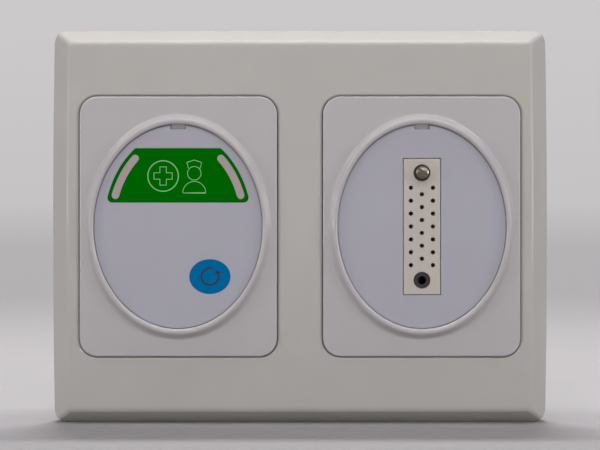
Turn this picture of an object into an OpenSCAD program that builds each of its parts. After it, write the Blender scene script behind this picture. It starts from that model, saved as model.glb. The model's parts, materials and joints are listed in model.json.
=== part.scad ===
// Wall-mounted nurse call station: a double cover plate over two modules with oval faces.
// One module is the call point, with a call key and a reset key. The other is a 20-way handset socket.
// Every piece is drawn lying on its back, with x to the right, y up the wall and z out of the wall.
// stand() turns it upright: the front then faces -Y, +Z is up, and the wall is the plane y = 0.

/* [Cover plate] */
// Width of the cover plate at its corners
plate_w = 147; // [140:1:170]
// Height of the cover plate
plate_h = 117; // [108:1:135]
// Distance from a side of the cover plate to the nearer module
side_margin = 8.3; // [7.5:0.1:10]
// Distance from its top and bottom to the modules
end_margin = 20; // [17:0.5:23]
// Distance between the two modules
middle_gap = 13.6; // [12:0.2:16]
// How far each side bows out at mid-height
plate_bow = 0.5; // [0:0.1:1]
// Depth of the cover plate from the wall to its front
plate_depth = 9.5; // [9:0.5:13]
// Radius of its corners, seen from the front
plate_corner_r = 4; // [3:0.5:6]
// Radius of the corners of its flat front
front_corner_r = 1.2; // [0.8:0.2:2.4]
// Width of the sloping edge at the left and right
side_slope = 6; // [5:0.2:6.2]
// Width of the sloping edge at the top and bottom
end_slope = 5.6; // [4:0.2:6]
// Wall thickness of the cover plate
plate_wall = 1.8; // [1.4:0.1:2]
// How much each side of an opening widens at its rounded front edge
opening_flare = 0.9; // [0.4:0.1:1.2]
// How much its top and bottom widen
end_flare = 0.6; // [0.3:0.1:1]
// Depth of that rounded edge
flare_depth = 0.9; // [0.4:0.1:1.4]
// Gap between a module and the opening round it
opening_gap = 0.14; // [0.1:0.02:0.5]

/* [Mounting grid] */
// Thickness of the mounting grid
grid_t = 2; // [1.6:0.1:2.4]
// Distance from a module's top and bottom to the wall screws beyond it
screw_beyond = 3.5; // [3:0.1:4.2]
// Radius of a wall screw hole
wall_hole_r = 1.9; // [1.7:0.1:2.2]

/* [Module bezels] */
// Radius of a bezel's corners
bezel_corner_r = 5.3; // [4:0.1:7]
// How far a bezel stands proud of the cover plate
bezel_proud = 0.4; // [0:0.1:1]
// Rounding of its front edge
bezel_edge_r = 0.5; // [0.2:0.1:0.8]
// Wall thickness of a bezel
bezel_wall = 1.8; // [1.5:0.1:2]
// Distance from a bezel's side to its raised oval ring
ring_side = 1.9; // [1.7:0.1:3]
// Distance from its top and bottom to the ring
ring_end = 5.4; // [4.5:0.1:6.5]
// Width of the ring's band, at its sides
ring_band = 2.4; // [2:0.1:3]
// Height of the ring's crest above the bezel
ring_rise = 1.7; // [1.4:0.1:2.4]
// Width of the locating tab at the top of the oval
tab_w = 4; // [3:0.1:6]
// How far the tab reaches into the oval
tab_d = 1.3; // [1:0.1:2.2]

/* [Faces] */
// Thickness of the printed films
film_t = 0.25; // [0.2:0.05:0.4]
// How far the films lie below the ring's crest
film_drop = 1.1; // [0.9:0.1:1.3]
// Thickness of the flange that clamps a face plate
flange_t = 1.2; // [1:0.1:1.6]

/* [Keys] */
// Distance from the face's side to the oval that gives the call key its sides
key_side = 2.9; // [2.6:0.1:3.6]
// Distance from the face's top to that oval
key_end = 1.76; // [1.6:0.02:3]
// Height of the call key
key_h = 16; // [14:0.5:18]
// Radius of its lower corners
key_corner_r = 1.4; // [0.8:0.1:2]
// Width of a lamp window
window_w = 2.2; // [2:0.1:2.6]
// Distance of a window's centre line from the key's side
window_inset = 2.1; // [2:0.1:3]
// Width of the reset key
reset_w = 12.1; // [10:0.1:14]
// Height of the reset key
reset_h = 10.2; // [8:0.1:11]
// Travel of the call key
call_travel = 0.5; // [0.3:0.05:0.55]

/* [Handset socket] */
// Width of the socket's insulator
socket_w = 10.8; // [10.4:0.1:12.4]
// Distance from the face's top and bottom to the insulator
socket_end = 10; // [8:0.1:11]
// Depth of the insulator
socket_depth = 14.45; // [13:0.05:15]
// Distance between contacts in a column
contact_pitch = 3.81; // [3.5:0.01:4.2]
// Distance of each side column from the middle
column_x = 3.25; // [3:0.05:3.5]
// Radius of a contact hole at the front
contact_hole_r = 0.65; // [0.5:0.05:0.7]
// Radius of a jack's collar
jack_collar_r = 2.45; // [2.3:0.05:2.6]
// Radius of the jack post
jack_post_r = 1.8; // [1.6:0.05:2]
// How far the jack post stands out of the socket
jack_post_out = 2.9; // [2:0.1:6]
// Thread bore radius of the jack bush
jack_bore_r = 1.25; // [1:0.05:1.4]

/* [Housings and boards] */
// Distance from a bezel's side to its rear housing
back_side = 2.6; // [2.3:0.1:3]
// Distance from a bezel's top and bottom to its rear housing
back_end = 4.3; // [3.8:0.1:5]
// Wall thickness of the rear housings
back_wall = 1.6; // [1.2:0.1:2]
// Thickness of the circuit boards
board_t = 1.6; // [1:0.1:2]
// Height of the wiring terminals
terminal_h = 10; // [8:0.5:12]
// Distance between wiring terminals
terminal_pitch = 5.08; // [5:0.02:6]

/* [Hidden] */
$fn = 96;

// Widths, heights and places that follow from the cover plate
bezel_w = (plate_w - 2 * side_margin - middle_gap) / 2;
bezel_h = plate_h - 2 * end_margin;
module_pitch = bezel_w + middle_gap;
screw_rows = bezel_h + 2 * screw_beyond;
ring_w = bezel_w - 2 * ring_side;
ring_h = bezel_h - 2 * ring_end;
back_w = bezel_w - 2 * back_side;
back_h = bezel_h - 2 * back_end;

// Heights above the wall
bezel_z = plate_depth + bezel_proud;
crest_z = bezel_z + ring_rise;
film_z = crest_z - film_drop;
face_z = film_z - film_t;
under_z = bezel_z - bezel_wall;
clamp_z = under_z - flange_t;

// Overrun of cuts, and the thickness of a hull's layers
over = 1;
layer_t = 0.01;

// Edge of the cover plate: an upright rim, a slope, and a curve round the corner above the slope
rim_share = 0.42;
rim_z = plate_depth * rim_share;
side_corner_share = 0.87;
end_corner_share = 0.7;
slope_end_share = 0.88;
edge_steps = 8;
corner_steps = 10;
bow_steps = 8;

// Middle of the rounded rim of an opening, in shares of its flare and depth
rim_flare_share = 0.3;
rim_depth_share = 0.35;

// Collars behind the cover plate's openings
collar_t = 1.2;
collar_z = 3.6;

// Blades that hold the cover plate in the grid
blade_w = 12;
blade_t = 1.4;
blade_inset = 8;
blade_y = plate_h / 2 - blade_inset;
blade_gap = 0.3;
blade_end_z = 0.3;
gusset_t = 1;
gusset_h = 3.5;

// Snap hooks of a bezel, which catch ledges in the grid's openings
hook_w = 8;
hook_x = 12;
hook_t = 1.2;
hook_gap = 0.2;
hook_clear = 0.6;
hook_under = 0.1;
barb_out = 0.9;
barb_h = 1.8;
barb_gap = 0.3;
ledge_t = 1;
catch_z = grid_t - ledge_t - hook_under;

// Mounting grid: its ribs stand between the cover plate's collars, its blades and its rim
grid_gap = 1.2;
grid_corner_r = 3;
grid_hole_gap = 0.4;
grid_hole_w = back_w + 2 * grid_hole_gap;
grid_hole_h = back_h + 2 * (hook_clear + hook_t + hook_gap);
grid_hole_r = 3;
rib_t = 1.5;
rib_h = 2.4;
rib_gap = 0.8;
rib_slot_gap = 1;
rib_in_x = side_margin - opening_gap - collar_t - rib_gap - rib_t - plate_wall - grid_gap;
rib_in_y = blade_inset - blade_t / 2 - blade_gap - rib_slot_gap - rib_t - plate_wall - grid_gap;
bar_gap = 2.1;
bar_x = middle_gap / 2 - opening_gap - collar_t - bar_gap;

// Ovals of the ring and the face
stretch = ring_h / ring_w;
ring_in_r = ring_w / 2 - ring_band;
crest_share = 0.34;
foot_ease = 0.4;
face_gap = 0.15;
face_r = ring_in_r - face_gap;
face_b = face_r * stretch;
tab_gap = 0.2;
tab_below_film = 0.6;

// Flange of a face plate, inside the bezel's skirt and between its hooks
flange_gap = 0.3;
flange_hook_gap = 0.8;
flange_w = bezel_w - 2 * bezel_wall - 2 * flange_gap;
flange_h = grid_hole_h - 2 * (hook_gap + hook_t + flange_hook_gap);
flange_corner_r = bezel_corner_r - bezel_wall - flange_gap;
boss_gap = 0.3;

// Keys and what lies under them
key_gap = 0.3;
film_gap = 0.06;
print_gap = 0.02;
key_flange = 1;
key_flange_t = 1.2;
key_wall = 1.2;
key_cap_t = 1.5;
key_foot_z = clamp_z - key_flange_t;
pad_r = 3;
slot_steps = 8;
end_steps = 6;

// Places of the keys on the face, in shares of its half width and half height
key_middle_share = 0.503;
reset_side_share = 0.38;
reset_drop_share = 0.493;
call_x = 0;
call_y = face_b * key_middle_share;
key_low = call_y - key_h / 2;
key_high = call_y + key_h / 2;
key_oval_w = 2 * (face_r - key_side);
key_oval_h = 2 * (face_b - key_end);
reset_x = face_r * reset_side_share;
reset_y = -face_b * reset_drop_share;

// Windows: an oval inside the key's sides, from just above its lower edge to below its upper one
window_a = key_oval_w / 2 - window_inset;
window_b = key_oval_h / 2 - window_inset;
window_low_gap = 1;
window_high_gap = 1.9;
window_from = asin((key_low + window_low_gap + window_w / 2) / window_b);
window_to = asin((key_high - window_high_gap - window_w / 2) / window_b);

// Tactile switches
switch_w = 6;
switch_h = 3.5;
stem_r = 1.75;
stem_spare = 0.1;
stem_proud = call_travel + stem_spare;
stem_in = 1.5;
stem_len = stem_proud + stem_in;
stem_gap = 0.1;
stem_room = call_travel + 2 * stem_spare;
leg_w = 0.7;
leg_out = 0.9;
leg_t = 0.3;

// Boards, terminals and housings
call_board_z = key_foot_z - stem_proud - switch_h - board_t;
board_gap = 0.4;
board_r = 2.6;
back_r = 3;
terminal_room = 1.4;
terminal_d = 8;
terminal_end = 0.2;
terminal_screw_r = 1.5;
terminal_screw_h = 3.5;
terminal_screw_in = 0.5;
terminal_hole_deep = 5;
wire_hole_r = 1.3;
wire_hole_deep = 5;
window_side = 0.5;

// Screws of a rear housing, in posts beside its walls
boss_r = 2.8;
post_r = 3.6;
post_gap = 0.4;
boss_x = back_w / 2 - back_wall - post_gap - post_r;
boss_y = back_h / 2 - back_wall - post_gap - post_r;
seat_t = 2.5;
screw_r = 1.2;
screw_gap = 0.05;
screw_clear = 0.3;
screw_hole_r = screw_r + screw_clear;
screw_grip = 5;
head_r = 2.3;
head_h = 2.2;
head_gap = 0.3;
recess_w = 0.6;
recess_l = 2.6;
recess_d = 1;

// As many wiring terminals as fit between the posts
terminal_clear = 2.5;
terminals = floor(2 * (boss_x - post_r - terminal_clear) / terminal_pitch);

// Lamps and light guides
guide_w = 1.7;
guide_gap = 0.3;
guide_spare = 0.15;
guide_below = call_travel + guide_spare;
guide_base_w = 3.2;
guide_base_h = 3;
channel_w = 1.6;
channel_h = 1.3;
lamp_l = 1.6;
lamp_w = 0.8;
lamp_h = 0.8;
lamps = 3;

// Controller chip
chip_w = 7;
chip_h = 1;
chip_x = -10;
chip_y = -6;

// Handset socket
socket_gap = 0.22;
socket_below = 0.05;
socket_z = film_z - socket_below;
socket_rear_z = socket_z - socket_depth;
socket_h = 2 * (face_b - socket_end);
socket_flange_side = 2.35;
socket_flange_end = 4.8;
socket_flange_r = 2;
socket_flange_t = 2;
fixing_beyond = 2.6;
fixing_y = socket_h / 2 + fixing_beyond;
fixing_r = 0.95;
fixing_hole_r = 1.1;
fixing_deep = 2.7;
fixing_len = 2.5;
fixing_head_r = 1.9;
fixing_head_h = 1.5;
contact_in = 4;
contact_r = 0.95;
contact_fit = 0.05;
contact_bore_r = 0.5;
contact_bore_deep = 7;
tail_r = 0.4;
tail_out = 0.8;
tail_gap = 0.1;
collar_h = 1;
collar_out = 0.15;
jack_fit = 0.05;
jack_wall = 1.65;
jack_y = socket_h / 2 - jack_wall - jack_fit - jack_collar_r;
shank_r = 1.5;
bush_r = 1.9;
bush_blind = 2;
dome_h = 0.6;
slot_w = 0.75;
slot_d = 0.8;
slot_angle = 45;
nut_r = 3.15;
nut_t = 2;
shank_out = 0.2;
nut_room = 0.4;
socket_board_z = socket_rear_z - nut_t - nut_room - board_t;

// As many contacts in each side column as fit between the jacks
contact_wall = 0.85;
jack_to_contact = jack_collar_r + jack_fit + contact_wall + contact_fit + contact_r;
side_contacts = floor(2 * (jack_y - jack_to_contact) / contact_pitch) + 1;

// Placing

module stand() rotate([90, 0, 0]) children();

module on_left() stand() translate([-module_pitch / 2, 0, 0]) children();

module on_right() stand() translate([module_pitch / 2, 0, 0]) children();

module four_ways(x, y)
    for (sx = [-1, 1], sy = [-1, 1]) translate([sx * x, sy * y, 0]) children();

module between(low, high) translate([0, 0, low]) linear_extrude(high - low) children();

// Outlines

module round_rect(w, h, r) {
    square([w - 2 * r, h], center = true);
    square([w, h - 2 * r], center = true);
    four_ways(w / 2 - r, h / 2 - r) circle(r);
}

module oval(w, h) scale([w / h, 1]) circle(h / 2);

// The oval that every part of a face follows, with radius r at its sides
module face_oval(r) scale([1, stretch]) circle(r);

// Call key: an oval between two levels, with rounded lower corners
module call_outline(grow = 0) {
    a = key_oval_w / 2 + grow;
    b = key_oval_h / 2 + grow;
    low = key_low - grow;
    high = key_high + grow;
    r = key_corner_r + max(grow, 0);
    corner_x = (a - r) * sqrt(1 - pow((low + r) / (b - r), 2));
    intersection() {
        oval(2 * a, 2 * b);
        translate([-a, low + r]) square([2 * a, high - low - r]);
    }
    translate([-corner_x, low]) square([2 * corner_x, 2 * r]);
    for (s = [-1, 1]) translate([s * corner_x, low + r]) circle(r);
}

module reset_outline(grow = 0) translate([reset_x, reset_y]) oval(reset_w + 2 * grow, reset_h + 2 * grow);

// Point and outward direction on the windows' centre line
function window_point(t) = [window_a * cos(t), window_b * sin(t)];
function window_turn(t) = atan2(window_a * sin(t), window_b * cos(t));
function beside(t, d) = window_point(t) + d * [cos(window_turn(t)), sin(window_turn(t))];
function round_end(t, r, from) = [
    for (i = [1:end_steps - 1])
        let (a = window_turn(t) + from + 180 * i / end_steps)
            window_point(t) + r * [cos(a), sin(a)]
];

// Curved slot along the right window, with round ends
module window_slot(w) {
    span = window_to - window_from;
    polygon(concat(
        [for (i = [0:slot_steps]) beside(window_from + span * i / slot_steps, w / 2)],
        round_end(window_to, w / 2, 0),
        [for (i = [0:slot_steps]) beside(window_to - span * i / slot_steps, -w / 2)],
        round_end(window_from, w / 2, 180)
    ));
}

module both_windows() for (s = [0, 1]) mirror([s, 0, 0]) children();

// Solids with a rounded front edge

module corner_profile(r, t, f) {
    square([r, t - f]);
    square([r - f, t]);
    translate([r - f, t - f]) intersection() {
        circle(f);
        translate([-f, -f]) square([2 * f, 2 * f]);
    }
}

module side_profile(l, t, f) {
    translate([-l / 2, 0]) square([l, t - f]);
    translate([f - l / 2, 0]) square([l - 2 * f, t]);
    for (s = [-1, 1]) translate([s * (l / 2 - f), t - f]) circle(f);
}

module soft_slab(w, h, r, t, f) {
    four_ways(w / 2 - r, h / 2 - r) rotate_extrude() corner_profile(r, t, f);
    rotate([90, 0, 0]) linear_extrude(h - 2 * r, center = true) side_profile(w, t, f);
    rotate([90, 0, 90]) linear_extrude(w - 2 * r, center = true) side_profile(h, t, f);
}

// Cover plate

function corner_arc(x, y, r, from) = [
    for (i = [0:corner_steps])
        let (a = from + 90 * i / corner_steps) [x + r * cos(a), y + r * sin(a)]
];

function bowed_side(s, x, half) = [
    for (i = [1:bow_steps - 1])
        let (share = 2 * i / bow_steps - 1) [s * (x + plate_bow * (1 - share * share)), s * share * half]
];

function plate_outline(w, h, r) =
    let (x = w / 2 - r, y = h / 2 - r) concat(
        corner_arc(x, -y, r, 270), bowed_side(1, w / 2, y), corner_arc(x, y, r, 0),
        corner_arc(-x, y, r, 90), bowed_side(-1, w / 2, y), corner_arc(-x, -y, r, 180)
    );

// Curve from the slope to the front: shares of the side slope, of the end slope and of the height
edge_corner = [side_corner_share, end_corner_share, 1];
function edge_share(u) =
    (1 - u) * (1 - u) * slope_end_share * edge_corner + 2 * u * (1 - u) * edge_corner + u * u * [1, 1, 1];

module plate_layer(inset, top, share) {
    w = plate_w - 2 * inset - 2 * side_slope * share[0];
    h = plate_h - 2 * inset - 2 * end_slope * share[1];
    translate([0, 0, rim_z + share[2] * (top - rim_z) - layer_t]) linear_extrude(layer_t)
        polygon(plate_outline(w, h, front_corner_r));
}

// The slopes and the front, from below the wall up, trimmed to the upright rim
module plate_form(inset, low, top) intersection() {
    hull() {
        plate_layer(inset, top, -(rim_z + over) / (top - rim_z) * edge_corner);
        for (i = [0:edge_steps]) plate_layer(inset, top, edge_share(i / edge_steps));
    }
    between(low, top + over) polygon(
        plate_outline(plate_w - 2 * inset, plate_h - 2 * inset, max(plate_corner_r - inset, front_corner_r)));
}

module opening_outline(grow)
    round_rect(bezel_w + 2 * grow, bezel_h + 2 * grow, bezel_corner_r + grow);

// Outline of an opening's rounded edge, at a share of its widening
module rim_outline(share, $fn = 32) {
    w = bezel_w + 2 * opening_gap + 2 * opening_flare * share;
    h = bezel_h + 2 * opening_gap + 2 * end_flare * share;
    round_rect(w, h, bezel_corner_r + opening_gap + opening_flare * share);
}

// An opening whose front edge is rounded over, in two steps
module plate_opening() {
    mid_z = plate_depth - flare_depth * rim_depth_share;
    between(-over, plate_depth + over) opening_outline(opening_gap);
    hull() {
        translate([0, 0, plate_depth - flare_depth]) linear_extrude(layer_t) rim_outline(0);
        translate([0, 0, mid_z]) linear_extrude(layer_t) rim_outline(rim_flare_share);
    }
    hull() {
        translate([0, 0, mid_z]) linear_extrude(layer_t) rim_outline(rim_flare_share);
        translate([0, 0, plate_depth]) linear_extrude(over) rim_outline(1);
    }
}

module both_modules() for (s = [-1, 1]) translate([s * module_pitch / 2, 0, 0]) children();

module cover_blade() {
    top = plate_depth - plate_wall / 2;
    between(blade_end_z, top) square([blade_w, blade_t], center = true);
    for (s = [-1, 1])
        translate([s * (blade_w / 2 - gusset_t / 2), blade_t / 2, grid_t + rib_h])
            rotate([90, 0, 90]) linear_extrude(gusset_t, center = true)
                polygon([[0, 0], [0, top - grid_t - rib_h], [-gusset_h, top - grid_t - rib_h]]);
}

module cover_plate() color([0.93, 0.92, 0.9]) stand() {
    difference() {
        plate_form(0, 0, plate_depth);
        difference() {
            plate_form(plate_wall, -over, plate_depth - plate_wall);
            both_modules() between(collar_z, plate_depth) opening_outline(opening_gap + collar_t);
        }
        both_modules() plate_opening();
    }
    for (s = [0, 1], x = [-1, 1])
        mirror([0, s, 0]) translate([x * module_pitch / 2, blade_y, 0]) cover_blade();
}

// Mounting grid

module mounting_grid() color([0.86, 0.86, 0.84]) stand() {
    w = plate_w - 2 * plate_wall - 2 * grid_gap;
    h = plate_h - 2 * plate_wall - 2 * grid_gap;
    difference() {
        union() {
            between(0, grid_t) round_rect(w, h, grid_corner_r);
            between(0, grid_t + rib_h) difference() {
                round_rect(w - 2 * rib_in_x, h - 2 * rib_in_y, grid_corner_r);
                round_rect(w - 2 * rib_in_x - 2 * rib_t, h - 2 * rib_in_y - 2 * rib_t, grid_corner_r);
            }
            for (s = [-1, 1])
                translate([s * bar_x, 0, 0]) between(0, grid_t + rib_h)
                    square([rib_t, bezel_h], center = true);
        }
        both_modules() {
            between(-over, grid_t + over) round_rect(grid_hole_w, grid_hole_h, grid_hole_r);
            four_ways(hook_x, grid_hole_h / 2) between(-over, grid_t - ledge_t)
                square([hook_w + 2 * barb_gap, 2 * (barb_out - hook_gap + barb_gap)], center = true);
        }
        four_ways(module_pitch / 2, screw_rows / 2) between(-over, grid_t + over) circle(wall_hole_r);
        four_ways(module_pitch / 2, blade_y) between(-over, grid_t + over)
            square([blade_w + 2 * blade_gap, blade_t + 2 * blade_gap], center = true);
    }
}

// Bezels, alike but for the length of their screw bosses

module snap_hook() {
    y = grid_hole_h / 2 - hook_gap;
    root = bezel_h / 2 - bezel_wall / 2;
    rotate([90, 0, 90]) linear_extrude(hook_w, center = true) polygon([
        [y - hook_t, under_z + bezel_wall / 2], [y - hook_t, catch_z - barb_h],
        [y, catch_z - barb_h], [y + barb_out, catch_z], [y, catch_z],
        [y, grid_t], [root, grid_t], [root, under_z + bezel_wall / 2]
    ]);
}

// Ring: a round crest at its inner edge, and a slope outwards that ends in an eased foot
module ring_profile() {
    r = ring_band * crest_share;
    middle = [ring_in_r + r, crest_z - r];
    foot = [ring_in_r + ring_band, bezel_z];
    reach = foot - middle;
    turn = acos(r / norm(reach)) + atan2(reach[1], reach[0]);
    touch = middle + r * [cos(turn), sin(turn)];
    slope = (touch - foot) / norm(touch - foot);
    half = 45 - turn / 2;
    ease_r = foot_ease / tan(half);
    polygon([
        [ring_in_r, under_z], [foot[0], under_z], foot + [foot_ease, 0],
        foot + ease_r * (1 / cos(half) - 1) * [sin(half), cos(half)],
        foot + foot_ease * slope, touch, middle, [ring_in_r, crest_z - r]
    ]);
    translate(middle) circle(r);
}

module bezel(board_z) {
    difference() {
        union() {
            translate([0, 0, grid_t])
                soft_slab(bezel_w, bezel_h, bezel_corner_r, bezel_z - grid_t, bezel_edge_r);
            scale([1, stretch, 1]) rotate_extrude() ring_profile();
        }
        between(grid_t - over, under_z) round_rect(
            bezel_w - 2 * bezel_wall, bezel_h - 2 * bezel_wall, bezel_corner_r - bezel_wall);
        between(under_z - over, crest_z + over) face_oval(ring_in_r);
    }
    translate([0, ring_in_r * stretch - tab_d / 2 + ring_band / 4, 0])
        between(under_z, film_z - tab_below_film) square([tab_w, tab_d + ring_band / 2], center = true);
    for (s = [0, 1], x = [-1, 1])
        mirror([0, s, 0]) translate([x * hook_x, 0, 0]) snap_hook();
    four_ways(boss_x, boss_y) between(board_z + board_t, under_z + bezel_wall / 2) difference() {
        circle(boss_r);
        circle(screw_r + screw_gap);
    }
}

module call_bezel() color([0.95, 0.94, 0.95]) on_left() bezel(call_board_z);

module socket_bezel() color([0.95, 0.94, 0.95]) on_right() bezel(socket_board_z);

// Face plates and films

module tab_notch() {
    w = tab_w + 2 * tab_gap;
    translate([-w / 2, ring_in_r * stretch - tab_d - tab_gap]) square([w, tab_d + tab_gap + over]);
}

module face_plate() {
    between(clamp_z, face_z) difference() {
        face_oval(face_r);
        tab_notch();
    }
    between(clamp_z, under_z) difference() {
        round_rect(flange_w, flange_h, flange_corner_r);
        four_ways(boss_x, boss_y) circle(boss_r + boss_gap);
    }
}

module call_face() color([0.8, 0.8, 0.82]) on_left() difference() {
    face_plate();
    between(clamp_z - over, face_z + over) {
        call_outline(key_gap);
        reset_outline(key_gap);
    }
}

module call_film() color([0.84, 0.84, 0.88]) on_left() between(face_z, film_z) difference() {
    face_oval(face_r);
    tab_notch();
    call_outline(film_gap);
    reset_outline(film_gap);
}

module socket_face() color([0.8, 0.8, 0.82]) on_right() difference() {
    face_plate();
    between(clamp_z - over, face_z + over) socket_cutout();
    for (s = [-1, 1]) translate([0, s * fixing_y, 0])
        between(clamp_z - over, clamp_z + fixing_deep) circle(fixing_r + screw_gap);
}

module socket_cutout() square([socket_w + 2 * socket_gap, socket_h + 2 * socket_gap], center = true);

module socket_film() color([0.84, 0.84, 0.88]) on_right() between(face_z, film_z) difference() {
    face_oval(face_r);
    tab_notch();
    socket_cutout();
}

// Keys, with the films printed on them

module call_key() color([0.75, 0.77, 0.75]) on_left() difference() {
    union() {
        between(key_foot_z, face_z) call_outline();
        between(key_foot_z, clamp_z) call_outline(key_gap + key_flange);
    }
    difference() {
        between(key_foot_z - over, face_z - key_cap_t) call_outline(-key_wall);
        translate([call_x, call_y, 0]) between(key_foot_z, face_z) {
            circle(pad_r);
            square([key_oval_w, key_wall], center = true);
        }
    }
    both_windows() between(key_foot_z - over, face_z + over) window_slot(guide_w + 2 * guide_gap);
}

module call_key_film() color([0.0, 0.5, 0.05]) on_left() between(face_z, film_z) difference() {
    call_outline();
    both_windows() window_slot(window_w + 2 * print_gap);
}

module lamp_windows() color([0.85, 0.8, 0.76]) on_left() between(face_z, film_z)
    both_windows() window_slot(window_w);

module reset_key() color([0.75, 0.77, 0.8]) on_left() {
    between(key_foot_z, face_z) reset_outline();
    between(key_foot_z, clamp_z) reset_outline(key_gap + key_flange);
}

module reset_key_film() color([0.0, 0.5, 0.75]) on_left() between(face_z, film_z) reset_outline();

// Tactile switches, under the middle of each key

module switch_body(x, y) translate([x, y, call_board_z + board_t]) {
    difference() {
        between(0, switch_h) square(switch_w, center = true);
        between(switch_h + stem_proud - stem_len - stem_room, switch_h + over) circle(stem_r + stem_gap);
    }
    for (sx = [-1, 1], sy = [-1, 1])
        translate([sx * (switch_w + leg_out) / 2, sy * switch_w / 3, 0])
            between(0, leg_t) square([leg_out, leg_w], center = true);
}

module switch_stem(x, y) translate([x, y, 0])
    between(key_foot_z - stem_len, key_foot_z) circle(stem_r);

module call_switch_body() color([0.15, 0.15, 0.16]) on_left() switch_body(call_x, call_y);

module call_switch_stem() color([0.7, 0.68, 0.62]) on_left() switch_stem(call_x, call_y);

module reset_switch_body() color([0.15, 0.15, 0.16]) on_left() switch_body(reset_x, reset_y);

module reset_switch_stem() color([0.7, 0.68, 0.62]) on_left() switch_stem(reset_x, reset_y);

// Lamps on the board, and the guides that lead their light to the windows

module lamp_guides() color([0.85, 0.9, 0.9]) on_left() both_windows() {
    low = call_board_z + board_t;
    between(low + guide_base_h, face_z - guide_below) window_slot(guide_w);
    between(low, low + guide_base_h) difference() {
        window_slot(guide_base_w);
        window_slot(channel_w);
    }
    between(low + channel_h, low + guide_base_h) window_slot(channel_w);
}

module call_lamps() color([0.95, 0.85, 0.5]) on_left() both_windows()
    for (i = [1:lamps]) {
        t = window_from + (window_to - window_from) * (i - 0.5) / lamps;
        translate([0, 0, call_board_z + board_t]) translate(window_point(t)) rotate(window_turn(t))
            between(0, lamp_h) square([lamp_w, lamp_l], center = true);
    }

// Boards

module board_outline() difference() {
    round_rect(back_w - 2 * back_wall - 2 * board_gap, back_h - 2 * back_wall - 2 * board_gap, board_r);
    four_ways(boss_x, boss_y) circle(screw_hole_r);
}

module call_board() color([0.1, 0.35, 0.2]) on_left()
    between(call_board_z, call_board_z + board_t) board_outline();

module call_controller() color([0.1, 0.1, 0.1]) on_left()
    translate([chip_x, chip_y, call_board_z + board_t]) between(0, chip_h) square(chip_w, center = true);

module socket_board() color([0.1, 0.35, 0.2]) on_right()
    between(socket_board_z, socket_board_z + board_t) difference() {
        board_outline();
        for (p = contact_places) translate(p) circle(tail_r + tail_gap);
    }

// Wiring terminals under a board, at its lower edge

terminal_y = terminal_d / 2 + terminal_end - board_half_h();
function board_half_h() = back_h / 2 - back_wall - board_gap;
function terminal_x(i) = (i - (terminals - 1) / 2) * terminal_pitch;

module terminal_block(board_z) translate([0, terminal_y, board_z - terminal_h]) difference() {
    between(0, terminal_h) square([terminals * terminal_pitch, terminal_d], center = true);
    for (i = [0:terminals - 1]) translate([terminal_x(i), 0, 0]) {
        between(-over, terminal_hole_deep) circle(terminal_screw_r + screw_gap);
        translate([0, wire_hole_deep - terminal_d / 2, terminal_h / 2]) rotate([90, 0, 0])
            between(0, wire_hole_deep + over) circle(wire_hole_r);
    }
}

module terminal_screws(board_z)
    for (i = [0:terminals - 1])
        translate([terminal_x(i), terminal_y, board_z - terminal_h + terminal_screw_in]) difference() {
            between(0, terminal_screw_h) circle(terminal_screw_r);
            between(-over, recess_d) square([2 * (terminal_screw_r + over), recess_w], center = true);
        }

module call_terminals() color([0.15, 0.45, 0.3]) on_left() terminal_block(call_board_z);

module call_terminal_screws() color([0.75, 0.75, 0.72]) on_left() terminal_screws(call_board_z);

module socket_terminals() color([0.15, 0.45, 0.3]) on_right() terminal_block(socket_board_z);

module socket_terminal_screws() color([0.75, 0.75, 0.72]) on_right() terminal_screws(socket_board_z);

// Rear housings and their screws

function back_z(board_z) = board_z - terminal_h - terminal_room - back_wall;

module back_cover(board_z) {
    z = back_z(board_z);
    window_h = board_z - board_t - z;
    window_w = terminals * terminal_pitch + 2 * window_side;
    window_d = terminal_d + terminal_end + board_gap + back_wall + window_side;
    difference() {
        union() {
            between(z, clamp_z) difference() {
                round_rect(back_w, back_h, back_r);
                round_rect(back_w - 2 * back_wall, back_h - 2 * back_wall, back_r - back_wall);
            }
            between(z, z + back_wall) round_rect(back_w, back_h, back_r);
            four_ways(boss_x, boss_y) between(z, board_z) circle(post_r);
        }
        four_ways(boss_x, boss_y) {
            between(z - over, board_z - seat_t) circle(head_r + head_gap);
            between(z, board_z + over) circle(screw_hole_r);
        }
        translate([-window_w / 2, -back_h / 2 - over, z - over])
            cube([window_w, window_d + over, window_h + over]);
    }
}

module back_screws(board_z) four_ways(boss_x, boss_y) translate([0, 0, board_z - seat_t]) {
    between(0, seat_t + board_t + screw_grip) circle(screw_r);
    difference() {
        between(-head_h, 0) circle(head_r);
        for (a = [0, 90]) rotate(a)
            between(-head_h - over, recess_d - head_h) square([recess_l, recess_w], center = true);
    }
}

module call_back_cover() color([0.9, 0.9, 0.88]) on_left() back_cover(call_board_z);

module call_back_screws() color([0.7, 0.7, 0.7]) on_left() back_screws(call_board_z);

module socket_back_cover() color([0.9, 0.9, 0.88]) on_right() back_cover(socket_board_z);

module socket_back_screws() color([0.7, 0.7, 0.7]) on_right() back_screws(socket_board_z);

// Handset socket: three staggered columns of contacts between two jacks

contact_places = concat(
    [
        for (s = [-1, 1], i = [0:side_contacts - 1])
            [s * column_x, (i - (side_contacts - 1) / 2) * contact_pitch]
    ],
    [for (i = [0:side_contacts - 2]) [0, (i + 1 - side_contacts / 2) * contact_pitch]]
);

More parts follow.
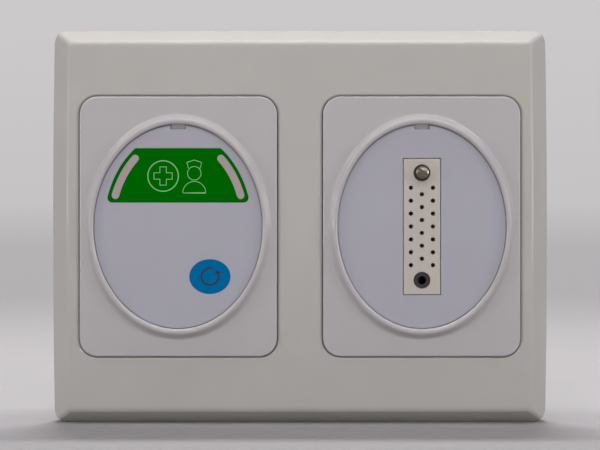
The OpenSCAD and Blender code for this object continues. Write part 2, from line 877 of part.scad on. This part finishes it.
module socket_body() color([0.9, 0.87, 0.8]) on_right() difference() {
    union() {
        between(socket_rear_z, socket_z) square([socket_w, socket_h], center = true);
        between(clamp_z - socket_flange_t, clamp_z)
            round_rect(socket_w + 2 * socket_flange_side, socket_h + 2 * socket_flange_end, socket_flange_r);
    }
    for (p = contact_places) translate(p) {
        between(socket_z - contact_in - over, socket_z + over) circle(contact_hole_r);
        between(socket_rear_z - over, socket_z - contact_in) circle(contact_r + contact_fit);
    }
    for (s = [-1, 1]) translate([0, s * jack_y, 0]) {
        between(socket_z - collar_h, socket_z + over) circle(jack_collar_r + jack_fit);
        between(socket_rear_z - over, socket_z) circle((s > 0 ? shank_r : bush_r) + jack_fit);
    }
    for (s = [-1, 1]) translate([0, s * fixing_y, 0])
        between(clamp_z - socket_flange_t - over, clamp_z + over) circle(fixing_hole_r);
}

module socket_contacts() color([0.8, 0.65, 0.3]) on_right() for (p = contact_places) translate(p) {
    top = socket_z - contact_in;
    difference() {
        between(socket_rear_z, top) circle(contact_r);
        between(top - contact_bore_deep, top + over) circle(contact_bore_r);
    }
    between(socket_board_z - tail_out, socket_rear_z) circle(tail_r);
}

module jackscrew_post() color([0.6, 0.59, 0.57]) on_right() translate([0, jack_y, 0]) {
    top = socket_z + jack_post_out;
    between(socket_rear_z - nut_t - shank_out, socket_z + collar_out) circle(shank_r);
    difference() {
        union() {
            between(socket_z + collar_out, top - dome_h) circle(jack_post_r);
            intersection() {
                between(top - dome_h, top) circle(jack_post_r);
                translate([0, 0, top - dome_ball_r]) sphere(dome_ball_r);
            }
        }
        rotate(slot_angle) between(top - slot_d, top + over)
            square([slot_w, 2 * jack_post_r + over], center = true);
    }
}

// Ball that rounds the post's end over
dome_ball_r = (jack_post_r * jack_post_r + dome_h * dome_h) / (2 * dome_h);

// Collar in the insulator's upper counterbore; the post's shoulder rests on it
module jackscrew_collar() color([0.12, 0.11, 0.1]) on_right() translate([0, jack_y, 0])
    between(socket_z - collar_h, socket_z + collar_out) difference() {
        circle(jack_collar_r);
        circle(shank_r + jack_fit);
    }

module jackscrew_bush() color([0.2, 0.19, 0.18]) on_right() translate([0, -jack_y, 0]) difference() {
    union() {
        between(socket_z - collar_h, socket_z) circle(jack_collar_r);
        between(socket_rear_z - nut_t - shank_out, socket_z - collar_h) circle(bush_r);
    }
    between(socket_rear_z + bush_blind, socket_z + over) circle(jack_bore_r);
}

module jackscrew_nuts() color([0.7, 0.7, 0.7]) on_right()
    for (s = [-1, 1]) translate([0, s * jack_y, 0])
        between(socket_rear_z - nut_t, socket_rear_z) difference() {
            circle(nut_r, $fn = 6);
            circle((s > 0 ? shank_r : bush_r) + jack_fit);
        }

module socket_fixing_screws() color([0.7, 0.7, 0.7]) on_right()
    for (s = [-1, 1]) translate([0, s * fixing_y, clamp_z - socket_flange_t]) {
        between(0, socket_flange_t + fixing_len) circle(fixing_r);
        difference() {
            between(-fixing_head_h, 0) circle(fixing_head_r);
            between(-fixing_head_h - over, -fixing_head_h / 2)
                square([2 * (fixing_head_r + over), recess_w], center = true);
        }
    }

cover_plate();
mounting_grid();
call_bezel();
call_face();
call_film();
call_key();
call_key_film();
lamp_windows();
reset_key();
reset_key_film();
call_switch_body();
call_switch_stem();
reset_switch_body();
reset_switch_stem();
lamp_guides();
call_lamps();
call_board();
call_controller();
call_terminals();
call_terminal_screws();
call_back_cover();
call_back_screws();
socket_bezel();
socket_face();
socket_film();
socket_body();
socket_contacts();
jackscrew_post();
jackscrew_collar();
jackscrew_bush();
jackscrew_nuts();
socket_fixing_screws();
socket_board();
socket_terminals();
socket_terminal_screws();
socket_back_cover();
socket_back_screws();
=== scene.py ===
"""Looks for the nurse call station: finishes, printed symbols, stage, lights and camera."""

import json
import math

import bmesh
import bpy
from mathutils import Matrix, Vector


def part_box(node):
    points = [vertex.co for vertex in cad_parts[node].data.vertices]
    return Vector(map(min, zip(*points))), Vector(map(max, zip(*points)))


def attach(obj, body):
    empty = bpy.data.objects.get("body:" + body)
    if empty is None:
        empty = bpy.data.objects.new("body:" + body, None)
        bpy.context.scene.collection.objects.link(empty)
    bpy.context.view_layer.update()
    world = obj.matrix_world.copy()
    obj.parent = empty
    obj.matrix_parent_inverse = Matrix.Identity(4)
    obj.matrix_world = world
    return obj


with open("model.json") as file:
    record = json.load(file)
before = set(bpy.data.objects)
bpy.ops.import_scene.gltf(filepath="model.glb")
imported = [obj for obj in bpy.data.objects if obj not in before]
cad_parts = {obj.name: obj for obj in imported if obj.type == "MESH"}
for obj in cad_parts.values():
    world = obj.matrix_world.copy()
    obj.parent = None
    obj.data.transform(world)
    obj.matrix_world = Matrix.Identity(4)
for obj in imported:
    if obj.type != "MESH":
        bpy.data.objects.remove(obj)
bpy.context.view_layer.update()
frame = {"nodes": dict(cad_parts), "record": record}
NODES = frame["nodes"]

MM = 0.001

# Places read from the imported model, in millimetres
FLOOR_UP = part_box("cover_plate")[0].z / MM
FILM_FRONT = -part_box("call_film")[0].y / MM
LEFT_X = sum(v.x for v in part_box("call_bezel")) / 2 / MM


def at(x, up, out):
    """A point in metres, from millimetres to the right, up the wall and out of the wall."""
    return Vector((x * MM, -out * MM, up * MM))


def srgb(red, green, blue):
    """Linear colour of three 0-255 display values."""

    def linear(value):
        share = value / 255
        return share / 12.92 if share <= 0.04045 else ((share + 0.055) / 1.055) ** 2.4

    return (linear(red), linear(green), linear(blue), 1.0)


# Camera: square to the plate, a little above its middle
SENSOR = 36.0
LENS = 85.0
CAMERA_OUT = 428.6
CAMERA_UP = 0.44
CLIP_NEAR, CLIP_FAR = 0.01, 20


def make_camera():
    data = bpy.data.cameras.new("camera")
    data.sensor_width = SENSOR
    data.lens = LENS
    data.clip_start = CLIP_NEAR
    data.clip_end = CLIP_FAR
    camera = bpy.data.objects.new("camera", data)
    bpy.context.scene.collection.objects.link(camera)
    camera.location = at(0, CAMERA_UP, CAMERA_OUT)
    camera.rotation_euler = (math.radians(90), 0, 0)
    bpy.context.scene.camera = camera


make_camera()


# Finishes: how far noise is stretched, and the scale of the slow colour drift
NOISE_LOW, NOISE_HIGH = 0.3, 0.7
DRIFT_SCALE = 60
ROUGH_SPREAD = 0.1
ROUGH_SCALE_SHARE = 0.25


class Nodes:
    """Short calls for a material's node tree."""

    def __init__(self, name):
        self.material = bpy.data.materials.new(name)
        self.material.use_nodes = True
        self.tree = self.material.node_tree
        self.shader = self.tree.nodes["Principled BSDF"]
        self.place = self.add("ShaderNodeTexCoord").outputs["Object"]

    def add(self, kind, **inputs):
        node = self.tree.nodes.new(kind)
        for key, value in inputs.items():
            node.inputs[key].default_value = value
        return node

    def link(self, source, target):
        self.tree.links.new(source, target)

    def noise(self, scale, detail=3.0):
        node = self.add("ShaderNodeTexNoise", Scale=scale, Detail=detail)
        self.link(self.place, node.inputs["Vector"])
        return node.outputs["Fac"]

    def spread(self, source, low, high):
        node = self.add("ShaderNodeMapRange")
        node.inputs["From Min"].default_value = NOISE_LOW
        node.inputs["From Max"].default_value = NOISE_HIGH
        node.inputs["To Min"].default_value = low
        node.inputs["To Max"].default_value = high
        self.link(source, node.inputs["Value"])
        return node.outputs["Result"]

    def colours(self, source, first, second):
        node = self.add("ShaderNodeValToRGB")
        node.color_ramp.elements[0].position = NOISE_LOW
        node.color_ramp.elements[0].color = first
        node.color_ramp.elements[1].position = NOISE_HIGH
        node.color_ramp.elements[1].color = second
        self.link(source, node.inputs["Fac"])
        self.link(node.outputs["Color"], self.shader.inputs["Base Color"])

    def bump(self, source, depth_mm, strength=1.0):
        node = self.add("ShaderNodeBump", Strength=strength, Distance=depth_mm * MM)
        self.link(source, node.inputs["Height"])
        self.link(node.outputs["Normal"], self.shader.inputs["Normal"])


def shade(colour, factor):
    return tuple(c * factor for c in colour[:3]) + (1.0,)


def moulded(name, colour, rough, vary=0.015, grain=2500, depth=0.004, metallic=0.0, specular=0.5):
    """A plain finish: slow drift in colour, fine variation in roughness and a fine moulded grain."""
    n = Nodes(name)
    n.shader.inputs["Metallic"].default_value = metallic
    n.shader.inputs["Specular IOR Level"].default_value = specular
    n.colours(n.noise(DRIFT_SCALE), shade(colour, 1 - vary), shade(colour, 1 + vary))
    roughness = n.spread(
        n.noise(grain * ROUGH_SCALE_SHARE), rough * (1 - ROUGH_SPREAD), rough * (1 + ROUGH_SPREAD)
    )
    n.link(roughness, n.shader.inputs["Roughness"])
    n.bump(n.noise(grain, 4), depth)
    return n.material


FILM = dict(rough=0.6, grain=9000, depth=0.002)

PALETTE = {
    "cover_gloss": dict(colour=srgb(172, 168, 164), rough=0.14, grain=900, depth=0.002),
    "grid_plastic": dict(colour=srgb(186, 184, 180), rough=0.5),
    "bezel_plastic": dict(colour=srgb(172, 167, 169), rough=0.17, grain=5000, depth=0.002),
    "face_plastic": dict(colour=srgb(150, 150, 154), rough=0.5),
    "film_white": dict(colour=srgb(163, 161, 170), vary=0.01, specular=0.1, **FILM),
    "film_green": dict(colour=srgb(0, 98, 2), vary=0.03, specular=0.0, **FILM),
    "film_blue": dict(colour=srgb(2, 99, 152), vary=0.03, specular=0.0, **FILM),
    "window_clear": dict(
        colour=srgb(162, 149, 147), rough=0.5, grain=4000, depth=0.003, vary=0.04, specular=0.2
    ),
    "switch_black": dict(colour=srgb(38, 38, 40), rough=0.5),
    "switch_stem": dict(colour=srgb(190, 180, 160), rough=0.5),
    "guide_clear": dict(colour=srgb(200, 206, 206), rough=0.12),
    "lamp_yellow": dict(colour=srgb(225, 205, 130), rough=0.3),
    "board_green": dict(colour=srgb(22, 82, 48), rough=0.35),
    "terminal_green": dict(colour=srgb(40, 120, 72), rough=0.45),
    "screw_steel": dict(colour=srgb(176, 176, 178), rough=0.3, metallic=1.0),
    "housing_plastic": dict(colour=srgb(190, 188, 184), rough=0.48, grain=3500, depth=0.006),
    "socket_cream": dict(colour=srgb(180, 173, 166), rough=0.5, grain=6000, depth=0.003, specular=0.3),
    "contact_gold": dict(colour=srgb(150, 116, 60), rough=0.4, metallic=1.0),
    "jack_steel": dict(colour=srgb(122, 115, 103), rough=0.3, metallic=1.0),
    "jack_dark": dict(colour=srgb(44, 41, 39), rough=0.4, grain=4000, depth=0.004, specular=0.4),
}

MATERIALS = {slot: moulded(slot, **finish) for slot, finish in PALETTE.items()}


def dress_nodes():
    for part in frame["record"]["subparts"]:
        data = NODES[part["node"]].data
        data.materials.clear()
        data.materials.append(MATERIALS[part["material_slot"]])


dress_nodes()


# Printed line symbols: thin raised ink on the films

INK_HEIGHT = 0.02
INK = dict(rough=0.45, grain=9000, depth=0.001)
THIN_LINE, BOLD_LINE, ARROW_LINE = 0.22, 0.34, 0.55
SHARPEST_CORNER = 0.5

# The plus in its ring: place from the module's middle, and sizes
PLUS_LEFT, PLUS_UP, PLUS_RING_R, PLUS_REACH, PLUS_HALF = 4.4, 14.9, 4.5, 2.7, 0.95

# The capped figure: place of the head, its radius, outline of the cap, and shoulders
HEAD_RIGHT, HEAD_UP, HEAD_R = 4.8, 15.7, 2.0
CAP = [(-1.7, 1.45), (-2.2, 3.2), (0, 3.9), (2.2, 3.2), (1.7, 1.45)]
SHOULDER_UP, SHOULDER_R = 9.9, 3.4

# The turning arrow: radius, size of its head, and the angles where it starts and ends
TURN_R, ARROW_HEAD, TURN_START, TURN_TIP = 2.5, 1.15, 80, 20


def ribbon(bm, points, width, closed, low, high):
    """A flat line of ink through points given as (x, up), between two heights."""
    count = len(points)
    rings = []
    for i, point in enumerate(points):
        before = points[i - 1] if closed or i else point
        after = points[(i + 1) % count] if closed or i < count - 1 else point
        along = (Vector(after) - Vector(before)).normalized()
        arriving = (Vector(point) - Vector(before)).normalized() if before != point else along
        side = Vector((-along.y, along.x))
        stretch = 1 / max(SHARPEST_CORNER, abs(side.dot(Vector((-arriving.y, arriving.x)))))
        offset = side * (width / 2 * stretch)
        left, right = Vector(point) + offset, Vector(point) - offset
        rings.append([
            bm.verts.new(at(*left, low)), bm.verts.new(at(*left, high)),
            bm.verts.new(at(*right, high)), bm.verts.new(at(*right, low)),
        ])
    pairs = zip(rings, rings[1:] + rings[:1]) if closed else zip(rings, rings[1:])
    for a, b in pairs:
        for k in range(4):
            bm.faces.new((a[k], a[(k + 1) % 4], b[(k + 1) % 4], b[k]))
    if not closed:
        bm.faces.new(rings[0])
        bm.faces.new(list(reversed(rings[-1])))


def finish_mesh(name, bm, material, body):
    bmesh.ops.recalc_face_normals(bm, faces=bm.faces)
    mesh = bpy.data.meshes.new(name)
    bm.to_mesh(mesh)
    bm.free()
    piece = bpy.data.objects.new(name, mesh)
    bpy.context.scene.collection.objects.link(piece)
    mesh.materials.append(material)
    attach(piece, body)
    return piece


def arc(x, up, radius, start, end, steps):
    return [
        (x + radius * math.cos(math.radians(a)), up + radius * math.sin(math.radians(a)))
        for a in (start + (end - start) * i / steps for i in range(steps + 1))
    ]


def ring(x, up, radius, steps=48):
    return arc(x, up, radius, 0, 360, steps)[:-1]


def plus(x, up, reach, half):
    corners = [
        (half, half), (half, reach), (-half, reach), (-half, half), (-reach, half), (-reach, -half),
        (-half, -half), (-half, -reach), (half, -reach), (half, -half), (reach, -half), (reach, half),
    ]
    return [(x + a, up + b) for a, b in corners]


def call_symbol():
    """A ring round a plain plus on the left, and a capped head and shoulders on the right."""
    bm = bmesh.new()
    low, high = FILM_FRONT, FILM_FRONT + INK_HEIGHT
    plus_x = LEFT_X - PLUS_LEFT
    ribbon(bm, ring(plus_x, PLUS_UP, PLUS_RING_R, 72), BOLD_LINE, True, low, high)
    ribbon(bm, plus(plus_x, PLUS_UP, PLUS_REACH, PLUS_HALF), THIN_LINE, True, low, high)
    head_x = LEFT_X + HEAD_RIGHT
    ribbon(bm, ring(head_x, HEAD_UP, HEAD_R), THIN_LINE, True, low, high)
    ribbon(bm, [(head_x + a, HEAD_UP + b) for a, b in CAP], THIN_LINE, False, low, high)
    shoulders = [(head_x - SHOULDER_R, SHOULDER_UP)] + arc(head_x, SHOULDER_UP, SHOULDER_R, 180, 0, 24)[1:]
    ribbon(bm, shoulders, THIN_LINE, True, low, high)
    ink = moulded("ink_pale_green", srgb(116, 178, 112), **INK)
    finish_mesh("call_symbol", bm, ink, "call_button")


def reset_symbol():
    """A turning arrow, open at the top right."""
    bm = bmesh.new()
    reset_low, reset_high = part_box("reset_key_film")
    x = (reset_low.x + reset_high.x) / 2 / MM
    up = (reset_low.z + reset_high.z) / 2 / MM
    low, high = FILM_FRONT, FILM_FRONT + INK_HEIGHT
    ribbon(bm, arc(x, up, TURN_R, TURN_START, 360 + TURN_TIP, 48), ARROW_LINE, False, low, high)
    end = Vector(arc(x, up, TURN_R, TURN_TIP, TURN_TIP, 1)[0])
    turn = math.radians(TURN_TIP + 90)
    along = Vector((math.cos(turn), math.sin(turn)))
    side = Vector((-along.y, along.x))
    corners = [end + along * ARROW_HEAD, end + side * ARROW_HEAD, end - side * ARROW_HEAD]
    lower = [bm.verts.new(at(*c, low)) for c in corners]
    upper = [bm.verts.new(at(*c, high)) for c in corners]
    bm.faces.new(upper)
    bm.faces.new(list(reversed(lower)))
    for k in range(3):
        bm.faces.new((lower[k], lower[(k + 1) % 3], upper[(k + 1) % 3], upper[k]))
    ink = moulded("ink_dark", srgb(22, 30, 52), **INK)
    finish_mesh("reset_symbol", bm, ink, "reset_button")


call_symbol()
reset_symbol()


# Stage: a pale floor that sweeps up to a wall far behind the plate

FLOOR_FRONT, FLOOR_BACK, SWEEP_R, WALL_TOP, STAGE_HALF = 900, -900, 400, 1600, 2000
SWEEP_STEPS = 16


def stage_mesh():
    profile = [(FLOOR_FRONT, FLOOR_UP)]
    for i in range(SWEEP_STEPS + 1):
        turn = math.radians(90 * i / SWEEP_STEPS)
        up = FLOOR_UP + SWEEP_R * (1 - math.cos(turn))
        profile.append((FLOOR_BACK - SWEEP_R * math.sin(turn), up))
    profile.append((FLOOR_BACK - SWEEP_R, WALL_TOP))
    bm = bmesh.new()
    rows = [[bm.verts.new(at(x, up, out)) for x in (-STAGE_HALF, STAGE_HALF)] for out, up in profile]
    for a, b in zip(rows, rows[1:]):
        bm.faces.new((a[0], a[1], b[1], b[0]))
    for face in bm.faces:
        face.smooth = True
    bmesh.ops.recalc_face_normals(bm, faces=bm.faces)
    mesh = bpy.data.meshes.new("stage")
    bm.to_mesh(mesh)
    bm.free()
    return mesh


def ramp(n, source, low, high, stops):
    """Colours between two values of a coordinate; stops are (share, colour)."""
    fit = n.add("ShaderNodeMapRange")
    fit.inputs["From Min"].default_value = low
    fit.inputs["From Max"].default_value = high
    n.link(source, fit.inputs["Value"])
    node = n.add("ShaderNodeValToRGB")
    elements = node.color_ramp.elements
    while len(elements) < len(stops):
        elements.new(0.5)
    for element, (share, colour) in zip(elements, stops):
        element.position = share
        element.color = colour
    n.link(fit.outputs["Result"], node.inputs["Fac"])
    return node.outputs["Color"]


def grey(value):
    return srgb(value, value - 3, value - 1)


# Paper: painted shade, darker in front of the plate to deepen the shadow it casts there and lighter behind
# it to make up for less light there; its tones in front of and behind the plate, and the depths in metres
# between them
PAPER_FRONT_PAINTED_SHADE, PAPER_BACK_PAINTED_LIGHT = 140, 168
PAPER_PAINTED_SHADE_DEPTHS = -0.02, 0.03
PAPER_ROUGH = 0.66, 0.74
PAPER_SPECULAR = 0.1

# Wall: painted light, a glow shown to the camera and to reflections in place of lit paper, darker low down
# and lighter towards the top; its tones by height, the heights in metres, and the depths over which it
# takes over
WALL_PAINTED_LIGHT_STOPS = [(0.0, grey(180)), (0.1, grey(181)), (0.24, grey(198)), (1.0, grey(205))]
WALL_HEIGHTS = -0.06, 0.3
WALL_DEPTHS = 0.35, 0.9
BLACK_TO_WHITE = [(0.0, (0, 0, 0, 1)), (1.0, (1, 1, 1, 1))]


def view_rays(tree):
    """1 for the camera's rays, for reflections and for what is seen through clear parts; 0 for light."""
    path = tree.nodes.new("ShaderNodeLightPath")
    value = path.outputs["Is Camera Ray"]
    for ray in ("Is Glossy Ray", "Is Transmission Ray"):
        larger = tree.nodes.new("ShaderNodeMath")
        larger.operation = "MAXIMUM"
        tree.links.new(value, larger.inputs[0])
        tree.links.new(path.outputs[ray], larger.inputs[1])
        value = larger.outputs["Value"]
    return value


def stage_material():
    """Paper on the floor with painted shade, darker in front of the plate and lighter behind it; far
    behind, the floor and wall glow with painted light to the camera and to reflections.
    """
    n = Nodes("stage_paper_painted_shade_and_glow")
    split = n.add("ShaderNodeSeparateXYZ")
    n.link(n.place, split.inputs["Vector"])
    depth, height = split.outputs["Y"], split.outputs["Z"]
    # Painted shade: the paper is darker in front of the plate, where its shadow falls, and lighter behind
    # it.
    paper = ramp(n, depth, *PAPER_PAINTED_SHADE_DEPTHS, [(0.0, grey(PAPER_FRONT_PAINTED_SHADE)), (1.0, grey(PAPER_BACK_PAINTED_LIGHT))])
    n.link(paper, n.shader.inputs["Base Color"])
    n.link(n.spread(n.noise(40), *PAPER_ROUGH), n.shader.inputs["Roughness"])
    n.shader.inputs["Specular IOR Level"].default_value = PAPER_SPECULAR
    n.bump(n.noise(300), 0.02)
    # Painted light: far behind the plate, the floor and wall glow to the camera and to reflections instead
    # of being lit, darker low down and lighter towards the top.
    glow = n.add("ShaderNodeEmission", Strength=1.0)
    wall = ramp(n, height, *WALL_HEIGHTS, WALL_PAINTED_LIGHT_STOPS)
    n.link(wall, glow.inputs["Color"])
    far = ramp(n, depth, *WALL_DEPTHS, BLACK_TO_WHITE)
    share = n.add("ShaderNodeMath")
    share.operation = "MULTIPLY"
    n.link(view_rays(n.tree), share.inputs[0])
    n.link(far, share.inputs[1])
    mix = n.add("ShaderNodeMixShader")
    n.link(share.outputs["Value"], mix.inputs["Fac"])
    n.link(n.shader.outputs["BSDF"], mix.inputs[1])
    n.link(glow.outputs["Emission"], mix.inputs[2])
    n.link(mix.outputs["Shader"], n.tree.nodes["Material Output"].inputs["Surface"])
    return n.material


def make_stage():
    stage = bpy.data.objects.new("stage", stage_mesh())
    bpy.context.scene.collection.objects.link(stage)
    stage.data.materials.append(stage_material())


# Lights: place, aim, width, height, watts, and whether glossy surfaces mirror the lamp
LIGHTS = {
    "overhead": ((0, 2000, -550), (0, -58, 20), 600, 150, 39, False),
    "overhead_glint": ((0, 2000, -545), (0, -58, 20), 600, 150, 0.8, True),
    "top_over": ((0, 700, 90), (0, 0, 0), 1600, 80, 3.0, True),
    "top_front": ((0, 490, 500), (0, 0, 0), 1600, 160, 3.8, True),
    "front_high": ((0, 0, 1300), (0, 0, 0), 1400, 800, 0.8, True),
    "front_low": ((0, -20, 1300), (0, 0, 0), 1400, 60, 2.9, False),
    "left": ((-1200, 170, 440), (0, 0, 0), 40, 420, 3.6, True),
    "right": ((1200, 170, 440), (0, 0, 0), 80, 420, 3.9, True),
}

# World: a faint cool fill as light, and a pale tone where it is seen or mirrored
WORLD_FILL = 0.97, 0.97, 1, 1
WORLD_STRENGTH = 0.05
WORLD_TONE = 185


def make_lamps():
    for name, (place, aim, width, height, watts, mirrored) in LIGHTS.items():
        data = bpy.data.lights.new(name, "AREA")
        data.shape = "RECTANGLE"
        data.size = width * MM
        data.size_y = height * MM
        data.energy = watts
        lamp = bpy.data.objects.new(name, data)
        bpy.context.scene.collection.objects.link(lamp)
        lamp.location = at(*place)
        lamp.rotation_euler = (at(*aim) - at(*place)).to_track_quat("-Z", "Y").to_euler()
        lamp.visible_glossy = mirrored
        lamp.visible_camera = False


def make_world():
    world = bpy.data.worlds.new("world")
    world.use_nodes = True
    tree = world.node_tree
    lighting = tree.nodes["Background"]
    lighting.inputs["Color"].default_value = WORLD_FILL
    lighting.inputs["Strength"].default_value = WORLD_STRENGTH
    backdrop = tree.nodes.new("ShaderNodeBackground")
    backdrop.inputs["Color"].default_value = grey(WORLD_TONE)
    mix = tree.nodes.new("ShaderNodeMixShader")
    tree.links.new(view_rays(tree), mix.inputs["Fac"])
    tree.links.new(lighting.outputs["Background"], mix.inputs[1])
    tree.links.new(backdrop.outputs["Background"], mix.inputs[2])
    tree.links.new(mix.outputs["Shader"], tree.nodes["World Output"].inputs["Surface"])
    bpy.context.scene.world = world


make_stage()
make_lamps()
make_world()
bpy.context.scene.view_settings.view_transform = "Standard"
